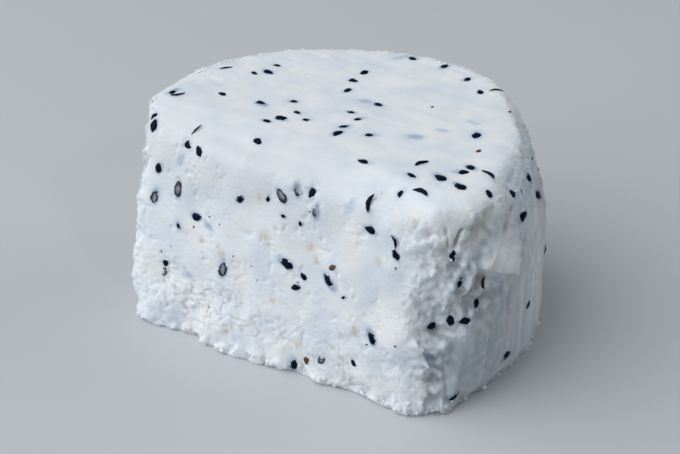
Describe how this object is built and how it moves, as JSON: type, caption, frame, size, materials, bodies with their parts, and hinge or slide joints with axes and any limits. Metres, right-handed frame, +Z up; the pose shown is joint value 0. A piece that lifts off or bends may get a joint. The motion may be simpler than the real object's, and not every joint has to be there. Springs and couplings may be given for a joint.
{
  "type": "block of seeded white cheese",
  "caption": "Block of crumbly white tulum cheese with nigella seeds: a small round wheel cut across in front of its middle, with a soft rim and a ragged foot.",
  "frame": {"origin": "where the axis of the round wheel meets the flat base", "axes": "+X along the cut face, +Y away from the cut face towards the round back, +Z up"},
  "size_m": [0.1044, 0.0839, 0.0547],
  "materials": {
    "cheese": "moist white cheese curd, satin"
  },
  "bodies": {
    "root": {"tulum_cheese": "cheese"}
  },
  "joints": []
}
